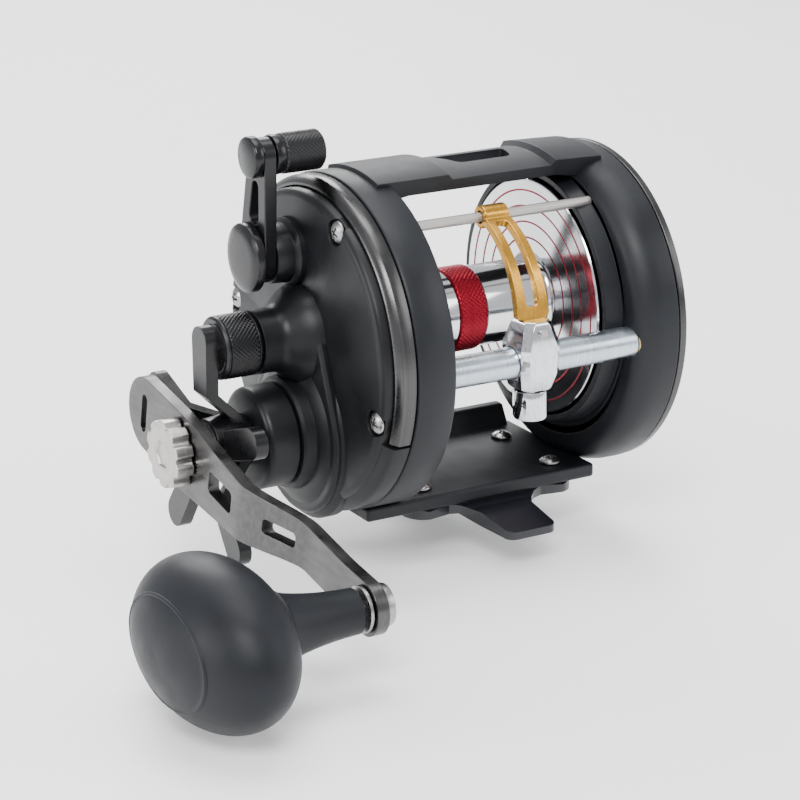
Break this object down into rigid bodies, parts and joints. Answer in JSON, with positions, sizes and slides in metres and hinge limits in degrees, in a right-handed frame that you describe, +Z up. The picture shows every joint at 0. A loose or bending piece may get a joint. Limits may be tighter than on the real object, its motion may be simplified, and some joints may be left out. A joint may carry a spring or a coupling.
{
  "type": "trolling reel",
  "caption": "Level-wind fishing reel with a geared crank, star drag wheel, sliding line guide, clutch lever, open spool and a flat foot that clamps in a rod's reel seat.",
  "frame": {"origin": "centre of the foot's underside, where it rests in the rod's reel seat", "axes": "+X along the spool, away from the crank; +Y to the rear, away from the level wind; +Z up"},
  "size_m": [0.1671, 0.1434, 0.107],
  "materials": {
    "frame_black": "matte black-blue powder coat",
    "plate_black": "satin black moulding",
    "gloss_black": "glossy black",
    "control_black": "satin black anodised",
    "gunmetal": "gunmetal anodised",
    "polished": "bright polished",
    "zinc": "bright zinc",
    "stainless": "machined stainless",
    "steel": "plated steel",
    "brass": "machined brass",
    "red_band": "red anodised, knurled",
    "gold_guide": "gold anodised",
    "carbon": "woven carbon",
    "nylon": "natural nylon",
    "grip_rubber": "soft-touch rubber"
  },
  "bodies": {
    "frame_body": {"frame": "frame_black", "left_side_plate": "plate_black", "right_side_plate": "plate_black", "left_trim_ring": "gunmetal", "right_trim_ring": "gunmetal", "reel_foot": "gloss_black", "foot_screw_1": "steel", "foot_screw_2": "steel", "foot_screw_3": "steel", "foot_screw_4": "steel", "left_plate_screw_1": "steel", "left_plate_screw_2": "steel", "left_plate_screw_3": "steel", "right_plate_screw_1": "steel", "right_plate_screw_2": "steel", "bridge_plate": "stainless", "worm_tube": "zinc", "guide_rod": "stainless", "left_spool_bearing": "stainless", "right_spool_bearing": "stainless", "bearing_housing": "plate_black", "anti_reverse_bearing": "stainless", "left_worm_bushing": "brass", "right_worm_bushing": "brass", "yoke_spring_front": "steel", "yoke_spring_rear": "steel"},
    "crank": {"gear_sleeve": "stainless", "dog_ratchet": "steel", "drag_plate": "stainless", "handle_arm": "gunmetal", "handle_nut": "steel", "knob_post": "steel", "knob_washer": "steel"},
    "drive_gear": {"main_gear": "brass", "drag_washer": "carbon"},
    "star": {"star_wheel": "control_black"},
    "grip": {"handle_knob": "grip_rubber"},
    "clutch": {"clutch_lever": "control_black", "lever_cap": "control_black", "lever_knob": "control_black", "clutch_cam": "steel"},
    "yoke_body": {"yoke": "brass"},
    "pinion": {"pinion_gear": "brass"},
    "spool_body": {"spool": "polished", "arbor_band": "red_band", "spool_shaft": "stainless", "spool_gear": "nylon", "click_ratchet": "stainless"},
    "idler": {"idler_gear": "nylon"},
    "worm": {"worm_shaft": "stainless", "worm_gear": "nylon"},
    "carriage_body": {"carriage": "polished", "line_guide": "gold_guide", "pawl_cap": "polished", "carriage_screw": "steel"},
    "pawl_body": {"pawl": "brass"},
    "dog": {"anti_reverse_dog": "steel"},
    "tension": {"tension_knob": "control_black"},
    "click": {"click_button": "control_black", "click_tongue": "steel"}
  },
  "joints": [
    {"name": "crank_spin", "type": "hinge", "parent": "frame_body", "child": "crank", "pos_m": [-0.003, 0, 0.026], "axis": [1, 0, 0], "continuous": true},
    {"name": "main_gear_spin", "type": "hinge", "parent": "frame_body", "child": "drive_gear", "pos_m": [-0.003, 0, 0.026], "axis": [1, 0, 0], "continuous": true},
    {"name": "star_turn", "type": "hinge", "parent": "crank", "child": "star", "pos_m": [-0.003, 0, 0.026], "axis": [1, 0, 0], "range_deg": [-180, 180]},
    {"name": "knob_spin", "type": "hinge", "parent": "crank", "child": "grip", "pos_m": [-0.003, -0.07553, 0.01104], "axis": [1, 0, 0], "continuous": true},
    {"name": "clutch_lever_throw", "type": "hinge", "parent": "frame_body", "child": "clutch", "pos_m": [-0.003, 0.005, 0.0695], "axis": [1, 0, 0], "range_deg": [-38, 0]},
    {"name": "yoke_slide", "type": "slide", "parent": "frame_body", "child": "yoke_body", "axis": [-1, 0, 0], "range_m": [0, 0.00182], "deforming": ["yoke_spring_front", "yoke_spring_rear"]},
    {"name": "pinion_spin", "type": "hinge", "parent": "yoke_body", "child": "pinion", "pos_m": [-0.003, 0, 0.05], "axis": [1, 0, 0], "continuous": true},
    {"name": "spool_spin", "type": "hinge", "parent": "frame_body", "child": "spool_body", "pos_m": [-0.003, 0, 0.05], "axis": [1, 0, 0], "continuous": true},
    {"name": "idler_spin", "type": "hinge", "parent": "frame_body", "child": "idler", "pos_m": [-0.003, -0.01966, 0.04801], "axis": [1, 0, 0], "continuous": true},
    {"name": "worm_spin", "type": "hinge", "parent": "frame_body", "child": "worm", "pos_m": [-0.003, -0.0355, 0.0464], "axis": [1, 0, 0], "continuous": true},
    {"name": "carriage_slide", "type": "slide", "parent": "frame_body", "child": "carriage_body", "axis": [1, 0, 0], "range_m": [-0.016, 0.016]},
    {"name": "pawl_swivel", "type": "hinge", "parent": "carriage_body", "child": "pawl_body", "pos_m": [-0.003, -0.0355, 0.04], "axis": [0, 0, 1], "range_deg": [-25, 25]},
    {"name": "dog_lift", "type": "hinge", "parent": "frame_body", "child": "dog", "pos_m": [-0.003, 0.013, 0.03616], "axis": [1, 0, 0], "range_deg": [0, 12]},
    {"name": "tension_knob_turn", "type": "hinge", "parent": "frame_body", "child": "tension", "pos_m": [-0.003, 0, 0.05], "axis": [1, 0, 0], "range_deg": [-180, 180]},
    {"name": "click_button_slide", "type": "slide", "parent": "frame_body", "child": "click", "axis": [0, -1, 0], "range_m": [0, 0.004]}
  ],
  "couplings": [
    {"joint": "main_gear_spin", "follows": "crank_spin", "ratio": 1},
    {"joint": "pinion_spin", "follows": "crank_spin", "ratio": -3.9091},
    {"joint": "spool_spin", "follows": "crank_spin", "ratio": -3.9091},
    {"joint": "idler_spin", "follows": "crank_spin", "ratio": 2.7922},
    {"joint": "worm_spin", "follows": "crank_spin", "ratio": -7.3295},
    {"joint": "yoke_slide", "follows": "clutch_lever_throw", "m_per_rad": -0.002714}
  ]
}
